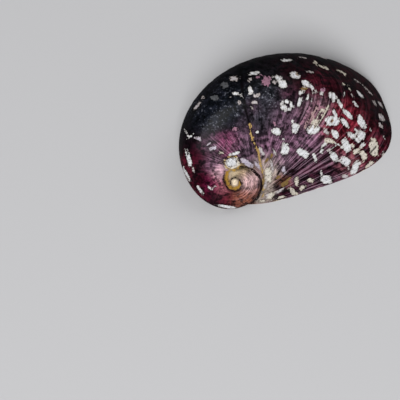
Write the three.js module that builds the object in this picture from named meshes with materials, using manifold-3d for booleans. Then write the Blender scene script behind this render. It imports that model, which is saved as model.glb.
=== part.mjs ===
// Empty shell of a river nerite, lying on its aperture. Millimetres, +Z up.
//
// The shell is a tube that coils once and a half round an oblique axis and widens fast.
// Every growth line is the present lip, turned back round that axis and shrunk towards
// the apex, so the whole shell follows from one lip outline, one axis and one growth law.
// The lip lies in the plane z = 0. Turns are counted backwards from the lip.
import * as THREE from 'three';
import { ConvexGeometry } from 'three/addons/geometries/ConvexGeometry.js';
import { mergeVertices } from 'three/addons/utils/BufferGeometryUtils.js';
import Module from 'manifold-3d';

// Lip outline, measured from its own centre. +X is the outer lip, -Y the side of the spire.
const LIP_OUTER = 4.74;
const LIP_INNER = 5.05;
const LIP_FRONT = 3.34;
const LIP_BACK = 3.37;
const LIP_TURN = 4.96;
const SQUARE_OUTER_BACK = 3.25;
const SQUARE_OUTER_FRONT = 2.29;
const SQUARE_INNER_BACK = 3.35;
const SQUARE_INNER_FRONT = 2.43;
const LIP_CENTRE_X = 3.935;
const LIP_CENTRE_Y = 2.807;

// The apex stands over x = 0, y = 0, and the coiling axis leans back towards -Y.
const APEX_HEIGHT = 2.03;
const AXIS_RISE = 40.28;
const AXIS_SIDE = -8.36;

// Growth rate for each radian turned back: fast in the last whorl, slow before it,
// fast again through the first whorl and slow in the embryonic shell.
const FAST_GROWTH = 0.419;
const SLOW_GROWTH = 0.098;
const EMBRYO_GROWTH = 0.15;
const EMBRYO_RADIUS = 0.24;
const SLOWING = { from: 0.373, to: 0.687 };
const QUICKENING = { from: 0.9, to: 1.05 };
const HATCHING = { from: 1.3, to: 1.6 };
const FIRST_TURN = 1.6;

// Walls.
const WALL = 0.5;
const LIP_EDGE = 0.2;
const LIP_BEVEL_TURN = 0.06;
const CAVITY_START = -0.03;
const CAVITY_END = 0.56;

// Columellar deck: the flat shelf that closes the inner half of the aperture.
const DECK_EDGE_X = 3.6;
const DECK_EDGE_BOW = 0.35;
const DECK_EDGE_SLANT = 0.12;
const DECK_THICKNESS = 0.45;
const DECK_START_X = -1;
const DECK_TILT = 4;

// Base: the smooth callus between the inner end of the lip and the side of the whorl.
const BASE_ANGLES = { from: 75, to: 215 };
const BASE_TURNS = 0.48;
const BASE_INSET = 0.03;

// Facets.
const BODY_STEPS = 44;
const SPIRE_STEPS = 24;
const SIDES = 60;
const EMBRYO_SIDES = 20;
const BASE_STEPS = 21;
const CAVITY_STEPS = 18;
const CAVITY_SIDES = 36;
const GROWTH_STEPS = 100;

const SHORTEST_EDGE = 0.02;
const MIN_FACE_AGREEMENT = 0.2;

const FULL_TURN = 2 * Math.PI;
const apex = new THREE.Vector3(0, 0, APEX_HEIGHT);
const rise = THREE.MathUtils.degToRad(AXIS_RISE);
const side = THREE.MathUtils.degToRad(AXIS_SIDE);
const axis = new THREE.Vector3(
  Math.sin(side) * Math.cos(rise),
  -Math.cos(side) * Math.cos(rise),
  Math.sin(rise),
);

function growthRate(turn) {
  const slowing = THREE.MathUtils.smoothstep(turn, SLOWING.from, SLOWING.to);
  const quickening = THREE.MathUtils.smoothstep(turn, QUICKENING.from, QUICKENING.to);
  const hatching = THREE.MathUtils.smoothstep(turn, HATCHING.from, HATCHING.to);
  return FAST_GROWTH
    + (SLOW_GROWTH - FAST_GROWTH) * (slowing - quickening)
    + (EMBRYO_GROWTH - FAST_GROWTH) * hatching;
}

// Size of the shell a number of turns ago, as a share of its present size.
function sizeAt(turn) {
  const step = turn / GROWTH_STEPS;
  let exponent = 0;
  for (let i = 0; i < GROWTH_STEPS; i += 1) {
    exponent += growthRate((i + 0.5) * step) * step * FULL_TURN;
  }
  return Math.exp(-exponent);
}

// Distance from the lip's centre to its outline, each quarter a superellipse of its own.
function lipRadius(angle) {
  const c = Math.cos(angle);
  const s = Math.sin(angle);
  const outer = c > 0;
  const front = s > 0;
  const reachX = outer ? LIP_OUTER : LIP_INNER;
  const reachY = front ? LIP_FRONT : LIP_BACK;
  const outerPower = front ? SQUARE_OUTER_FRONT : SQUARE_OUTER_BACK;
  const innerPower = front ? SQUARE_INNER_FRONT : SQUARE_INNER_BACK;
  const power = outer ? outerPower : innerPower;
  return (Math.abs(c / reachX) ** power + Math.abs(s / reachY) ** power) ** (-1 / power);
}

// The lip outline of a number of turns ago, drawn inside the wall by inset.
function growthLine(turn, sides, inset) {
  const size = sizeAt(turn);
  const points = [];
  for (let i = 0; i < sides; i += 1) {
    const angle = (i / sides) * FULL_TURN;
    const radius = lipRadius(angle) - inset / size;
    const heading = angle + THREE.MathUtils.degToRad(LIP_TURN);
    const point = new THREE.Vector3(
      LIP_CENTRE_X + radius * Math.cos(heading),
      LIP_CENTRE_Y + radius * Math.sin(heading),
      0,
    );
    point.sub(apex).applyAxisAngle(axis, turn * FULL_TURN).multiplyScalar(size).add(apex);
    points.push(point);
  }
  return points;
}

const wasm = await Module();
wasm.setup();

function toSolid(geometry) {
  const bare = geometry.clone();
  bare.deleteAttribute('normal');
  bare.deleteAttribute('uv');
  const merged = mergeVertices(bare);
  return new wasm.Manifold(new wasm.Mesh({
    numProp: 3,
    vertProperties: new Float32Array(merged.attributes.position.array),
    triVerts: new Uint32Array(merged.index.array),
  }));
}

function toGeometry(solid) {
  const mesh = solid.getMesh();
  const geometry = new THREE.BufferGeometry();
  geometry.setAttribute('position', new THREE.BufferAttribute(mesh.vertProperties, 3));
  geometry.setIndex(new THREE.BufferAttribute(mesh.triVerts, 1));
  geometry.computeVertexNormals();
  return geometry;
}

// The space that a growth line passes through on its way back through the turns given.
function sweep(turns, sides, insetAt) {
  const lines = turns.map((turn) => growthLine(turn, sides, insetAt(turn)));
  let solids = [];
  for (let i = 0; i + 1 < lines.length; i += 1) {
    const next = lines[Math.min(i + 2, lines.length - 1)];
    solids.push(toSolid(new ConvexGeometry([...lines[i], ...lines[i + 1], ...next])));
  }
  while (solids.length > 1) {
    const joined = [];
    for (let i = 0; i < solids.length; i += 2) {
      joined.push(i + 1 < solids.length ? solids[i].add(solids[i + 1]) : solids[i]);
    }
    solids = joined;
  }
  return solids[0];
}

function evenTurns(from, to, count) {
  return Array.from({ length: count + 1 }, (_, i) => from + ((to - from) * i) / count);
}

function makeWhorls() {
  const spireSteps = Math.round((FIRST_TURN - 1) * SPIRE_STEPS);
  const turns = [...evenTurns(0, 1, BODY_STEPS), ...evenTurns(1, FIRST_TURN, spireSteps).slice(1)];
  const embryo = new THREE.SphereGeometry(EMBRYO_RADIUS, EMBRYO_SIDES, EMBRYO_SIDES / 2);
  embryo.translate(apex.x, apex.y, apex.z);
  return sweep(turns, SIDES, () => 0).add(toSolid(embryo));
}

// The inner front of the whorl turns away from the floor, and the base fills that hollow.
function makeBase() {
  const inBase = (_, i) => {
    const angle = (i / SIDES) * FULL_TURN;
    return angle > THREE.MathUtils.degToRad(BASE_ANGLES.from)
      && angle < THREE.MathUtils.degToRad(BASE_ANGLES.to);
  };
  const turns = evenTurns(0, BASE_TURNS, BASE_STEPS);
  const lines = turns.map((turn) => growthLine(turn, SIDES, BASE_INSET));
  return toSolid(new ConvexGeometry(lines.flatMap((line) => line.filter(inBase))));
}

function makeCavity() {
  const turns = evenTurns(CAVITY_START, CAVITY_END, CAVITY_STEPS);
  const insetAt = (turn) => {
    const share = THREE.MathUtils.smoothstep(turn, 0, LIP_BEVEL_TURN);
    return THREE.MathUtils.lerp(LIP_EDGE, WALL, share);
  };
  return sweep(turns, CAVITY_SIDES, insetAt);
}

// A slab inside the aperture, with a slightly hollow free edge across it.
function makeDeck() {
  const reach = LIP_FRONT + LIP_BACK;
  const edgeX = (y) => DECK_EDGE_X - DECK_START_X + DECK_EDGE_SLANT * y;
  const outline = new THREE.Shape();
  outline.moveTo(-reach, -reach);
  outline.lineTo(edgeX(-reach), -reach);
  outline.lineTo(edgeX(-LIP_BACK), -LIP_BACK);
  outline.quadraticCurveTo(edgeX(0) - 2 * DECK_EDGE_BOW, 0, edgeX(LIP_FRONT), LIP_FRONT);
  outline.lineTo(edgeX(reach), reach);
  outline.lineTo(-reach, reach);
  outline.closePath();
  const slab = new THREE.ExtrudeGeometry(outline, { depth: DECK_THICKNESS, bevelEnabled: false });
  slab.rotateY(THREE.MathUtils.degToRad(-DECK_TILT));
  slab.translate(DECK_START_X, LIP_CENTRE_Y, 0);
  return toSolid(slab);
}

// Everything above the plane that the shell lies on.
function makeUpperSpace() {
  const reach = 4 * LIP_INNER;
  const block = new THREE.BoxGeometry(reach, reach, reach);
  block.translate(0, 0, reach / 2);
  return toSolid(block);
}

// Joined pieces leave corners that almost coincide. Each edge shorter than the limit is
// shrunk to one of its ends where that keeps the surface closed and turns no face over.
function dropShortEdges(geometry, shortest) {
  const corners = geometry.attributes.position;
  const at = (i) => new THREE.Vector3().fromBufferAttribute(corners, i);
  const points = Array.from({ length: corners.count }, (_, i) => at(i));
  const faces = [];
  const facesAt = points.map(() => new Set());
  for (let i = 0; i < geometry.index.count; i += 3) {
    const face = [0, 1, 2].map((k) => geometry.index.getX(i + k));
    face.forEach((corner) => facesAt[corner].add(faces.length));
    faces.push(face);
  }
  const neighbours = (i) => new Set([...facesAt[i]].flatMap((f) => faces[f]).filter((c) => c !== i));
  const normal = (face, swap) => new THREE.Triangle(...face.map(swap)).getNormal(new THREE.Vector3());
  const canShrink = (from, to) => {
    const around = neighbours(to);
    if ([...neighbours(from)].filter((corner) => around.has(corner)).length !== 2) {
      return false;
    }
    return [...facesAt[from]].every((f) => {
      if (faces[f].includes(to)) {
        return true;
      }
      const before = normal(faces[f], (c) => points[c]);
      const after = normal(faces[f], (c) => points[c === from ? to : c]);
      return after.dot(before) > MIN_FACE_AGREEMENT;
    });
  };
  const shrink = (from, to) => {
    [...facesAt[from]].forEach((f) => {
      if (faces[f].includes(to)) {
        faces[f].forEach((corner) => facesAt[corner].delete(f));
        faces[f] = null;
      } else {
        faces[f] = faces[f].map((corner) => (corner === from ? to : corner));
        facesAt[to].add(f);
      }
    });
    facesAt[from].clear();
  };
  let changed = true;
  while (changed) {
    changed = false;
    for (let f = 0; f < faces.length; f += 1) {
      for (let k = 0; k < 3 && faces[f]; k += 1) {
        const [from, to] = [faces[f][k], faces[f][(k + 1) % 3]];
        if (points[from].distanceTo(points[to]) < shortest) {
          const [gone, kept] = canShrink(from, to) ? [from, to] : [to, from];
          if (canShrink(gone, kept)) {
            shrink(gone, kept);
            changed = true;
          }
        }
      }
    }
  }
  const tidy = new THREE.BufferGeometry();
  const used = [...new Set(faces.filter(Boolean).flat())];
  const place = new Map(used.map((corner, i) => [corner, i]));
  tidy.setAttribute('position', new THREE.Float32BufferAttribute(used.flatMap((c) => points[c].toArray()), 3));
  tidy.setIndex(faces.filter(Boolean).flat().map((corner) => place.get(corner)));
  return tidy;
}

function largestBody(solid) {
  return solid.decompose().reduce((best, body) => (body.volume() > best.volume() ? body : best));
}

const hollow = makeCavity().subtract(makeDeck());
const outside = makeWhorls().add(makeBase()).intersect(makeUpperSpace());
const shellSolid = largestBody(outside.subtract(hollow));
const shellGeometry = dropShortEdges(toGeometry(shellSolid), SHORTEST_EDGE);
shellGeometry.computeVertexNormals();

// The frame's origin is under the middle of the shell's box.
shellGeometry.computeBoundingBox();
const middle = shellGeometry.boundingBox.getCenter(new THREE.Vector3());
shellGeometry.translate(-middle.x, -middle.y, -shellGeometry.boundingBox.min.z);

const shellMaterial = new THREE.MeshStandardMaterial({
  color: '#4b2733',
  roughness: 0.35,
  metalness: 0,
});
const shell = new THREE.Mesh(shellGeometry, shellMaterial);
shell.name = 'shell';

const nerite = new THREE.Group();
nerite.add(shell);

export default nerite;
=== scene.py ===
import math

import bmesh
import bpy
import numpy as np
from mathutils import Matrix, Vector
from mathutils.kdtree import KDTree


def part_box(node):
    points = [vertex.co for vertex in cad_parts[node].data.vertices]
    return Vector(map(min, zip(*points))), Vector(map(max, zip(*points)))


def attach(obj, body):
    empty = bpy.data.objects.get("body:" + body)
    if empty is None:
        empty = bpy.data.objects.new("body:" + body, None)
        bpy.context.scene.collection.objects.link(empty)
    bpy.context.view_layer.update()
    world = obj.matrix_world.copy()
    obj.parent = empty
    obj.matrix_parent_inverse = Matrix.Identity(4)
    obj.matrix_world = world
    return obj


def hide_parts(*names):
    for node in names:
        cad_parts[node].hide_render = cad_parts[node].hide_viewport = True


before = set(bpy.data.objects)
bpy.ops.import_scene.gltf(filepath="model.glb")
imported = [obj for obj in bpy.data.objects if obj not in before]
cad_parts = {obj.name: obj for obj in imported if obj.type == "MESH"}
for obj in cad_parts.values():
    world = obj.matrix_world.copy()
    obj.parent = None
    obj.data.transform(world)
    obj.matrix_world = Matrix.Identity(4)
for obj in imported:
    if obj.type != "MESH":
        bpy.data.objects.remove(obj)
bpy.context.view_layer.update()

bl_info = {
    "name": "Nerite Shell",
    "version": (1, 0, 0),
    "blender": (4, 5, 0),
    "location": "View3D > Sidebar > Nerite",
    "description": "Builds an empty nerite shell lying on its aperture, and a studio stage",
    "category": "Add Mesh",
}

MM = 0.001
FULL_TURN = 2 * math.pi
NODE = "shell"


def length_setting(name, description, millimetres):
    """A length, given in millimetres and kept in metres."""
    return bpy.props.FloatProperty(
        name=name, description=description, default=millimetres * MM, unit="LENGTH", precision=5)


def angle_setting(name, description, degrees):
    return bpy.props.FloatProperty(
        name=name, description=description, default=math.radians(degrees), subtype="ANGLE")


def number_setting(name, description, value):
    return bpy.props.FloatProperty(name=name, description=description, default=value, precision=3)


def linear(part):
    """Turns one channel of a screen colour, 0 to 255, to the linear value that shaders use."""
    share = part / 255
    return share / 12.92 if share <= 0.04045 else ((share + 0.055) / 1.055) ** 2.4


def colour_setting(name, description, screen_colour):
    return bpy.props.FloatVectorProperty(
        name=name, description=description, default=[linear(part) for part in screen_colour],
        subtype="COLOR", size=3, min=0, max=1)


def count_setting(name, description, value):
    return bpy.props.IntProperty(name=name, description=description, default=value, min=3)


class NeriteCoil(bpy.types.PropertyGroup):
    """Sizes of the lip, the coiling axis and the growth of the shell."""

    lip_outer: length_setting("Outer reach", "From the lip's centre to the outer lip", 4.74)
    lip_inner: length_setting("Inner reach", "From the lip's centre to its inner end", 5.05)
    lip_front: length_setting("Front reach", "From the lip's centre away from the spire", 3.34)
    lip_back: length_setting("Back reach", "From the lip's centre towards the spire", 3.37)
    lip_turn: angle_setting("Lip turn", "How far the lip outline is turned round its centre", 4.96)
    square_outer_back: number_setting("Outer back corner", "How square it is, 2 for an ellipse", 3.25)
    square_outer_front: number_setting("Outer front corner", "How square it is, 2 for an ellipse", 2.29)
    square_inner_back: number_setting("Inner back corner", "How square it is, 2 for an ellipse", 3.35)
    square_inner_front: number_setting("Inner front corner", "How square it is, 2 for an ellipse", 2.43)
    lip_centre_x: length_setting("Lip centre, X", "From under the apex to the lip's centre", 3.935)
    lip_centre_y: length_setting("Lip centre, Y", "From under the apex to the lip's centre", 2.807)
    apex_height: length_setting("Apex height", "Height of the apex over the lip's plane", 2.03)
    axis_rise: angle_setting("Axis rise", "How steeply the coiling axis rises", 40.28)
    axis_side: angle_setting("Axis side", "How far the coiling axis leans to the outer side", -8.36)
    fast_growth: number_setting("Fast growth", "Growth for each radian late and early on", 0.419)
    slow_growth: number_setting("Slow growth", "Growth for each radian between these", 0.098)
    embryo_growth: number_setting("Embryo growth", "Growth for each radian at the very start", 0.15)
    embryo_radius: length_setting("Embryo radius", "Radius of the ball at the apex", 0.24)


class NeriteWall(bpy.types.PropertyGroup):
    """Sizes of the wall and of the shelf inside the aperture."""

    wall: length_setting("Wall", "Thickness behind the lip", 0.5)
    lip_edge: length_setting("Lip edge", "Thickness of the lip at its rim", 0.2)
    deck_edge_x: length_setting("Deck edge", "From under the apex to the free edge of the shelf", 3.6)
    deck_bow: length_setting("Deck bow", "How hollow the free edge is", 0.35)
    deck_thickness: length_setting("Deck thickness", "Thickness of the shelf", 0.45)
    deck_rounding: length_setting("Deck rounding", "Radius of the shelf's edges", 0.12)
    deck_tilt: angle_setting("Deck tilt", "How the shelf sinks into the aperture", 4)


class NeriteFacets(bpy.types.PropertyGroup):
    """How finely the surface is divided."""

    sides: count_setting("Sides", "Points round a growth line", 240)
    body_steps: count_setting("Body steps", "Growth lines in the last half turn", 280)
    spire_steps: count_setting("Spire steps", "Growth lines before the last half turn", 160)
    cavity_sides: count_setting("Cavity sides", "Points round the inside", 72)
    cavity_steps: count_setting("Cavity steps", "Steps along the inside", 56)


# What each colour is for, and its red, green and blue as a screen shows them, 0 to 255.
COLOURS = {
    # Near black: painted shade along the top and left rims, and the dark growth check's own colour.
    "soot": ("Near black, along the rims", (8, 5, 8)),
    "slate": ("Worn shoulder", (17, 20, 28)),
    "warm_slate": ("Worn middle", (38, 38, 44)),
    "burgundy": ("Upper right", (30, 7, 13)),
    "wine": ("Flank and margins", (66, 16, 28)),
    "crimson": ("Among the rows of blotches", (108, 30, 42)),
    "bramble": ("Stripes and the foot of the rubble", (42, 10, 24)),
    "mauve": ("Flank and the spire's shoulder", (98, 70, 88)),
    "dusky_mauve": ("Striped middle", (80, 60, 74)),
    "plum": ("Low stripes and the inner margin", (58, 31, 43)),
    "magenta": ("Left shoulder", (110, 54, 82)),
    "deep_magenta": ("Left hollow and lower left", (38, 3, 16)),
    # Partly the shell's own pink-lilac, partly a painted sheen round the spire.
    "pink": ("Round the spire", (190, 152, 162)),
    "fuchsia": ("Glow left of the spire", (112, 22, 66)),
    "cold": ("Dark patches", (11, 15, 19)),
    "rosewood": ("Under the spire and right foot", (140, 84, 92)),
    "orchid": ("Lightest part of the striped flank", (140, 100, 113)),
    "olive": ("Top of the spire", (134, 116, 84)),
    "umber": ("Shaded side of the spire", (82, 48, 38)),
    "straw": ("Growth mark", (172, 142, 88)),
    "brown": ("Foot of the spire, ochre rubble", (116, 68, 52)),
    # In the spire's middle this tan is partly a painted highlight; the pale line is the shell's own
    # colour.
    "tan": ("Middle of the spire and a pale line", (172, 141, 142)),
    "beige": ("Left of the spire's top", (172, 155, 128)),
    "ochre": ("Groove of the spire", (156, 120, 52)),
    "rubble": ("Worn strip beside the growth mark", (158, 144, 134)),
    "bud": ("The first whorl", (236, 219, 190)),
    "khaki": ("Rust flecks and edges of blotches", (122, 98, 60)),
    "white": ("Blotches", (214, 215, 218)),
    "cream": ("Worn blotches", (210, 203, 192)),
    "dove": ("Dim blotches", (182, 176, 180)),
    "lilac": ("Lilac flecks", (188, 180, 196)),
    "rose": ("Rose patches", (150, 110, 128)),
    "dusk": ("Dim grey patches", (84, 85, 88)),
    "dark": ("Suture, cracks and pits", (22, 12, 13)),
    "stripe": ("Light growth lines", (200, 164, 184)),
    "speck": ("Specks on the slate", (150, 152, 162)),
    "porcelain": ("Inner wall", (186, 188, 194)),
    "callus": ("Shelf and base", (214, 206, 190)),
    "lip": ("Rim of the lip", (84, 54, 60)),
}


class NeriteColours(bpy.types.PropertyGroup):
    """Colours of the ground and of the marks."""

    __annotations__ = {
        name: colour_setting(name.replace("_", " ").capitalize(), use, screen_colour)
        for name, (use, screen_colour) in COLOURS.items()
    }


class NeriteStage(bpy.types.PropertyGroup):
    """The camera, the floor and the lights."""

    pixel: length_setting("Pixel", "Size on the shell of one pixel of the photograph", 0.0504)
    camera_distance: bpy.props.FloatProperty(
        name="Camera distance", description="From the camera to the shell", default=0.6, unit="LENGTH")
    turn_x: angle_setting("Turn about X", "First turn from the shell's frame to the view's", -23.194)
    turn_y: angle_setting("Turn about Y", "Second turn", 5.148)
    turn_z: angle_setting("Turn about Z", "Third turn", 13.929)
    floor_colour: colour_setting("Floor", "Colour of the floor", (190, 190, 192))
    key_power: number_setting("Key light", "Power of the large light, watts", 0.34)
    fill_power: number_setting("Fill light", "Power of the second light, watts", 0.10)
    sky: number_setting("Sky", "Strength of the even light all round", 0.26)


# Turns are counted backwards from the lip: the apex, the end of the finely divided last half
# turn, and the spans over which growth slows, quickens, and changes to the embryo's.
FIRST_TURN = 1.6
BODY_TURN = 0.5
SLOWING = (0.373, 0.687)
QUICKENING = (0.9, 1.05)
HATCHING = (1.3, 1.6)

# Ridges along the growth lines: how many in a turn for each wave, their height as a share of the
# distance to the apex, and the turns over which they fade out.
RIDGES = (31, 47, 68)
RIDGE_HEIGHT = 0.0008
RIDGES_FADE = (0.25, 0.37)

# More turns: where the first growth line lies, how long each length of whorl is, where the
# inside starts and ends, where the wall is at its full thickness, and where the base ends.
UNDER_FLOOR_TURN = -0.004
LENGTH_TURN = 0.125
CAVITY_TURNS = (-0.03, 0.56)
BEVEL_TURN = 0.06
BASE_TURN = 0.48

# Degrees round the lip between which the base fills the hollow.
BASE_ANGLES = (75, 215)

# Millimetres.
AXIS_CLEARANCE = 0.1
BASE_INSET = 0.03
BASE_SLICE = 0.2
DECK_START_X = -1.0
EMBRYO_SUNK = 0.13
FLOOR_BLOCK = 40.0

# Shares: the embryo's height of its width, the slant of the shelf's edge, and the visual model's
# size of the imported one.
EMBRYO_FLATNESS = 0.8
DECK_SLANT = 0.12
FIT = 0.9995

# How finely the growth is summed and the small forms are divided.
GROWTH_STEPS = 100
BASE_STEPS = 40
DECK_EDGE_STEPS = 24
DECK_ROUNDING_STEPS = 4
EMBRYO_SIDES = 40
EMBRYO_RINGS = 20

# Degrees: sharper edges are rounded on the shelf, and shaded as edges on the shell.
ROUNDED_FROM = 60
SHARP_FROM = 35

# Turns that mark the faces of the inner wall, the shelf, and what lies on the floor.
INSIDE_TURN = -1.0
DECK_TURN = -2.0
SOLE_TURN = -3.0


def smooth_step(value, low, high):
    share = min(max((value - low) / (high - low), 0.0), 1.0)
    return share * share * (3 - 2 * share)


class Coil:
    """The growth of the shell in millimetres, the apex at the origin and the coiling axis along Z."""

    def __init__(self, settings):
        self.settings = settings
        rise = settings.axis_rise
        side = settings.axis_side
        self.axis = Vector((
            math.sin(side) * math.cos(rise),
            -math.cos(side) * math.cos(rise),
            math.sin(rise),
        ))
        self.upright = self.axis.rotation_difference(Vector((0, 0, 1))).to_matrix()
        self.apex = Vector((0, 0, settings.apex_height / MM))

    def growth_rate(self, turn):
        settings = self.settings
        slow = smooth_step(turn, *SLOWING) - smooth_step(turn, *QUICKENING)
        hatching = smooth_step(turn, *HATCHING)
        rate = settings.fast_growth + (settings.slow_growth - settings.fast_growth) * slow
        return rate + (settings.embryo_growth - settings.fast_growth) * hatching

    def size_at(self, turn):
        step = turn / GROWTH_STEPS
        total = sum(self.growth_rate((i + 0.5) * step) for i in range(GROWTH_STEPS))
        return math.exp(-total * step * FULL_TURN)

    def ridge(self, turn):
        """How much the low ridges of growth swell a growth line."""
        waves = sum(math.sin(FULL_TURN * count * turn + count) for count in RIDGES)
        return 1 + RIDGE_HEIGHT * waves * (1 - smooth_step(turn, *RIDGES_FADE))

    def lip_radius(self, angle):
        settings = self.settings
        across = math.cos(angle)
        along = math.sin(angle)
        reach_x = (settings.lip_outer if across > 0 else settings.lip_inner) / MM
        reach_y = (settings.lip_front if along > 0 else settings.lip_back) / MM
        if across > 0:
            power = settings.square_outer_front if along > 0 else settings.square_outer_back
        else:
            power = settings.square_inner_front if along > 0 else settings.square_inner_back
        return (abs(across / reach_x) ** power + abs(along / reach_y) ** power) ** (-1 / power)

    def innermost_x(self, y):
        """The least x where a lip point still moves forward as the shell grows."""
        drift = self.settings.slow_growth * self.settings.apex_height / MM
        return (self.axis.x * y + drift) / self.axis.y + AXIS_CLEARANCE

    def lip_point(self, angle, inset, kept_off_axis=True):
        """A point of the lip outline, in the coil's own frame."""
        settings = self.settings
        radius = self.lip_radius(angle) - inset
        heading = angle + settings.lip_turn
        x = settings.lip_centre_x / MM + radius * math.cos(heading)
        y = settings.lip_centre_y / MM + radius * math.sin(heading)
        if kept_off_axis:
            x = max(x, self.innermost_x(y) + inset)
        return self.upright @ (Vector((x, y, 0)) - self.apex)

    def outline(self, sides, inset=0.0):
        return [self.lip_point(FULL_TURN * i / sides, inset) for i in range(sides)]

    def carried_back(self, point, turn):
        return Matrix.Rotation(FULL_TURN * turn, 3, "Z") @ point * self.size_at(turn)


def deselect_all():
    if bpy.context.object and bpy.context.object.mode != "OBJECT":
        bpy.ops.object.mode_set(mode="OBJECT")
    bpy.ops.object.select_all(action="DESELECT")


def select_only(piece):
    deselect_all()
    piece.select_set(True)
    bpy.context.view_layer.objects.active = piece


def read(items, name, width, kind=float):
    """An array of one value of all vertices or corners, as wide as the value."""
    values = np.zeros(len(items) * width, kind)
    items.foreach_get(name, values)
    return values.reshape(-1, width)


def points_of(piece):
    return read(piece.data.vertices, "co", 3)


def place_points(piece, points):
    piece.data.vertices.foreach_set("co", np.asarray(points, float).ravel())
    piece.data.update()


def apply_modifier(piece, kind, **settings):
    select_only(piece)
    modifier = piece.modifiers.new(kind.title(), kind)
    for name, value in settings.items():
        setattr(modifier, name, value)
    bpy.ops.object.modifier_apply(modifier=modifier.name)


def edit_all(piece):
    """Opens the piece in edit mode with all of it selected."""
    select_only(piece)
    bpy.ops.object.mode_set(mode="EDIT")
    bpy.ops.mesh.select_all(action="SELECT")


def draw_outline(name, points, fill="NOTHING"):
    """Draws a closed line through the points and leaves all of it selected in edit mode."""
    deselect_all()
    bpy.ops.mesh.primitive_circle_add(vertices=len(points), radius=1, fill_type=fill)
    piece = bpy.context.object
    piece.name = name
    place_points(piece, points)
    edit_all(piece)
    return piece


def turn_faces_out():
    """Turns the faces of the piece in edit mode outwards and leaves edit mode."""
    bpy.ops.mesh.select_all(action="SELECT")
    bpy.ops.mesh.normals_make_consistent(inside=False)
    bpy.ops.object.mode_set(mode="OBJECT")


def remove_pieces(pieces):
    for piece in pieces:
        mesh = piece.data
        bpy.data.objects.remove(piece)
        bpy.data.meshes.remove(mesh)


def growth_lines(coil, outline, turns):
    """The places of an outline carried back to each of the turns."""
    start = np.array(outline)
    lines = []
    for turn in turns:
        back = np.array(Matrix.Rotation(FULL_TURN * turn, 3, "Z"))
        lines.append(start @ back.T * coil.size_at(turn) * coil.ridge(turn))
    return np.array(lines)


def sweep_outline(name, coil, outline, turns):
    """Draws a growth line at the first turn and extrudes it back through the others."""
    lines = growth_lines(coil, outline, turns)
    piece = draw_outline(name, lines[0], "NGON")
    for i in range(1, len(turns)):
        back = FULL_TURN * (turns[i] - turns[i - 1])
        shrink = coil.size_at(turns[i]) / coil.size_at(turns[i - 1])
        bpy.ops.mesh.extrude_region_move()
        bpy.ops.transform.rotate(
            value=-back, orient_axis="Z", orient_type="GLOBAL", center_override=(0, 0, 0))
        bpy.ops.transform.resize(value=(shrink, shrink, shrink), center_override=(0, 0, 0))
    turn_faces_out()
    # Rounding adds up over the extrusions, and neighbouring lengths have to match exactly.
    place_points(piece, lines.reshape(-1, 3))
    return piece


def map_growth(piece, around, along):
    """Gives a piece a UV map from two values for each vertex: U round the line, V the turn."""
    mesh = piece.data
    while mesh.uv_layers:
        mesh.uv_layers.remove(mesh.uv_layers[0])
    layer = mesh.uv_layers.new(name="growth")
    corners = read(mesh.loops, "vertex_index", 1, int)[:, 0]
    places = np.stack([around[corners], along[corners]], 1)
    for face in mesh.polygons:
        part = places[face.loop_start:face.loop_start + face.loop_total]
        if face.loop_total == 4 and np.ptp(part[:, 0]) > 0.5:
            part[part[:, 0] < 0.5, 0] += 1
    layer.data.foreach_set("uv", places.astype(np.float32).ravel())


def map_whole(piece, turn):
    """Gives all of a piece one turn: below zero for a cutting piece, to know the faces it leaves."""
    count = len(piece.data.vertices)
    map_growth(piece, np.zeros(count), np.full(count, turn))


def join_solids(base, others, operation="UNION"):
    """Joins the other solids to the base, or cuts them from it, and removes them."""
    collection = bpy.data.collections.new("solids")
    bpy.context.scene.collection.children.link(collection)
    for piece in others:
        collection.objects.link(piece)
    apply_modifier(
        base, "BOOLEAN", operand_type="COLLECTION", collection=collection,
        operation=operation, solver="MANIFOLD")
    remove_pieces(others)
    bpy.data.collections.remove(collection)


def even_turns(start, end, count):
    return [start + (end - start) * i / count for i in range(count + 1)]


def make_whorls(coil, facets):
    """The whorls in short lengths that lap by one step, so that none passes through itself."""
    turns = even_turns(UNDER_FLOOR_TURN, BODY_TURN, facets.body_steps)
    turns += even_turns(BODY_TURN, FIRST_TURN, facets.spire_steps)[1:]
    sides = facets.sides
    outline = coil.outline(sides)
    around = np.arange(sides) / sides
    lengths = []
    start = 0
    while start < len(turns) - 1:
        end = start + 1
        while end < len(turns) - 1 and turns[end] - turns[start] < LENGTH_TURN:
            end += 1
        own = turns[start:end + 2]
        piece = sweep_outline("whorls", coil, outline, own)
        map_growth(piece, np.tile(around, len(own)), np.repeat(own, sides))
        lengths.append(piece)
        start = end
    return lengths


def make_embryo(settings):
    deselect_all()
    bpy.ops.mesh.primitive_uv_sphere_add(
        segments=EMBRYO_SIDES, ring_count=EMBRYO_RINGS, radius=settings.embryo_radius / MM,
        location=(0, 0, -EMBRYO_SUNK))
    bpy.ops.transform.resize(value=(1, 1, EMBRYO_FLATNESS))
    bpy.ops.object.transform_apply(location=True, rotation=False, scale=True)
    map_whole(bpy.context.object, FIRST_TURN)
    return bpy.context.object


def slice_up(piece, spacing):
    """Cuts the faces along evenly spaced planes, so that marks can show on wide ones."""
    points = points_of(piece)
    edit_all(piece)
    for axis in np.eye(3):
        low, high = (points @ axis).min(), (points @ axis).max()
        for offset in np.arange(low + spacing / 2, high, spacing):
            bpy.ops.mesh.select_all(action="SELECT")
            bpy.ops.mesh.bisect(plane_co=axis * offset, plane_no=axis)
    bpy.ops.object.mode_set(mode="OBJECT")


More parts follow.
